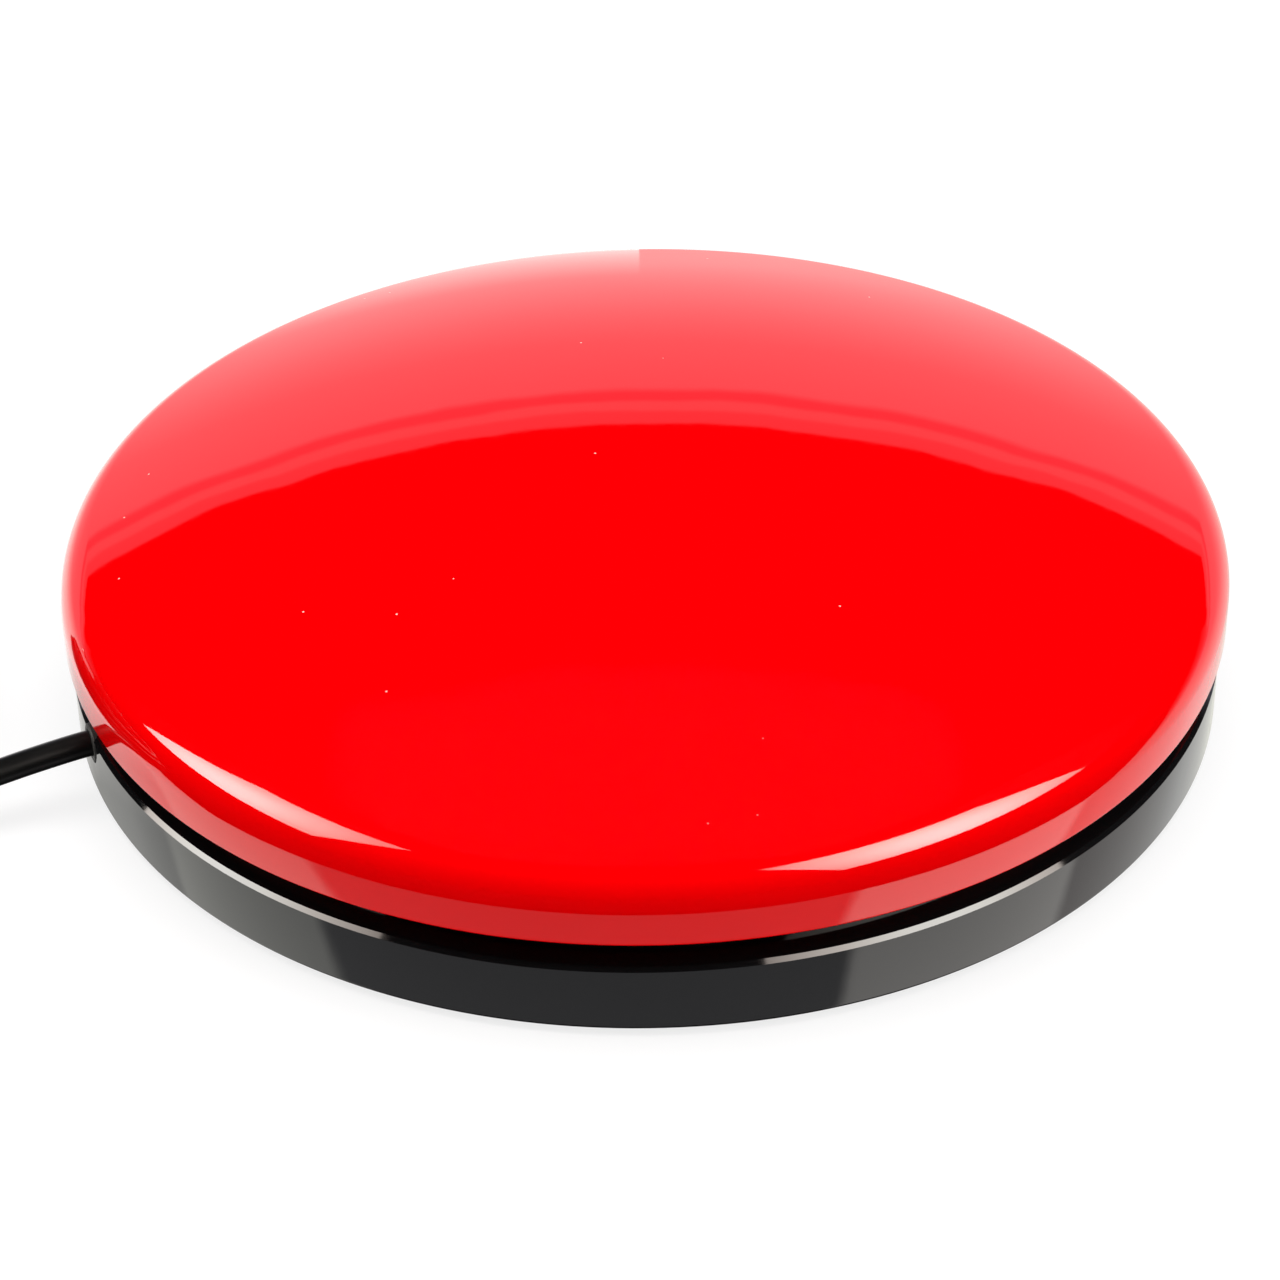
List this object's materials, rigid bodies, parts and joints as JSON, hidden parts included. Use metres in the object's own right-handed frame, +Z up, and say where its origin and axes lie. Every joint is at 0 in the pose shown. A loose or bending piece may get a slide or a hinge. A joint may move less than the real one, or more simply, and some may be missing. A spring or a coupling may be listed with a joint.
{
  "type": "quiz buzzer",
  "caption": "Wired press buzzer: a glossy red shallow dome that slides on guide posts over a flat black round base, with a lever switch inside and a thin signal lead.",
  "frame": {"origin": "centre of the base at the bottom of its feet", "axes": "+Z up along the cap's travel, the lead leaves the base along -X"},
  "size_m": [0.1822, 0.127, 0.0309],
  "materials": {
    "red_cap": "polished moulded ABS, mirror gloss, deep pure red",
    "black_base": "polished moulded ABS, glossy black",
    "zinc_screw": "zinc-plated steel",
    "zinc_washer": "zinc-plated steel",
    "grey_nylon": "natural moulded nylon, satin",
    "black_foam": "fine closed-cell foam rubber",
    "black_rubber": "moulded rubber, matte",
    "soft_black": "moulded soft PVC, satin",
    "black_nylon": "moulded nylon, satin",
    "spring_wire": "drawn spring wire",
    "switch_body": "moulded thermoset, matte",
    "pin_steel": "turned steel",
    "lever_steel": "rolled stainless strip",
    "red_plunger": "moulded acetal, satin",
    "blade_copper": "beryllium copper strip",
    "contact_brass": "stamped brass strip",
    "white_wire": "PVC insulation, satin",
    "blue_wire": "PVC insulation, satin",
    "lead_jacket": "black PVC jacket, satin",
    "hook_tie": "woven hook-and-loop strap",
    "plug_black": "moulded PVC, satin",
    "plug_nickel": "nickel plate",
    "plug_ring": "moulded acetal"
  },
  "bodies": {
    "base": {"base_tray": "black_base", "damper_ring": "black_foam", "front_left_foot": "black_rubber", "front_right_foot": "black_rubber", "rear_left_foot": "black_rubber", "rear_right_foot": "black_rubber", "cord_grommet": "soft_black", "cord_clamp": "black_nylon", "clamp_screws": "zinc_screw", "right_return_spring": "spring_wire", "rear_return_spring": "spring_wire", "front_return_spring": "spring_wire", "switch_case": "switch_body", "switch_cover": "switch_body", "switch_screws": "zinc_screw", "lever_pin": "pin_steel", "common_terminal": "contact_brass", "normally_open_terminal": "contact_brass", "normally_closed_terminal": "contact_brass", "signal_wire": "white_wire", "return_wire": "blue_wire", "signal_lead": "lead_jacket", "lead_coil": "lead_jacket", "lead_tail": "lead_jacket", "coil_tie": "hook_tie", "plug_body": "plug_black", "plug_sleeve": "plug_nickel", "plug_insulator": "plug_ring", "plug_tip": "plug_nickel"},
    "cap": {"cap_dome": "red_cap", "guide_screws": "zinc_screw", "guide_washers": "zinc_washer", "pusher_pad": "grey_nylon"},
    "lever": {"switch_lever": "lever_steel"},
    "plunger": {"switch_plunger": "red_plunger"},
    "blade": {"contact_blade": "blade_copper"}
  },
  "joints": [
    {"name": "cap_press", "type": "slide", "parent": "base", "child": "cap", "axis": [0, 0, -1], "range_m": [0, 0.0024], "stiffness_N_per_m": 300, "springref_m": -0.004, "deforming": ["right_return_spring", "rear_return_spring", "front_return_spring"]},
    {"name": "lever_swing", "type": "hinge", "parent": "base", "child": "lever", "pos_m": [-0.0225, 0, 0.0198], "axis": [0, 1, 0], "range_deg": [0, 6.11]},
    {"name": "plunger_press", "type": "slide", "parent": "base", "child": "plunger", "axis": [0, 0, -1], "range_m": [0, 0.000535]},
    {"name": "blade_swing", "type": "hinge", "parent": "base", "child": "blade", "pos_m": [-0.02095, 0, 0.01455], "axis": [0, 1, 0], "range_deg": [0, 4.02]}
  ],
  "couplings": [
    {"joint": "lever_swing", "follows": "cap_press", "rad_per_m": 44.277},
    {"joint": "plunger_press", "follows": "cap_press", "ratio": 0.22222},
    {"joint": "blade_swing", "follows": "cap_press", "rad_per_m": 29.089}
  ]
}
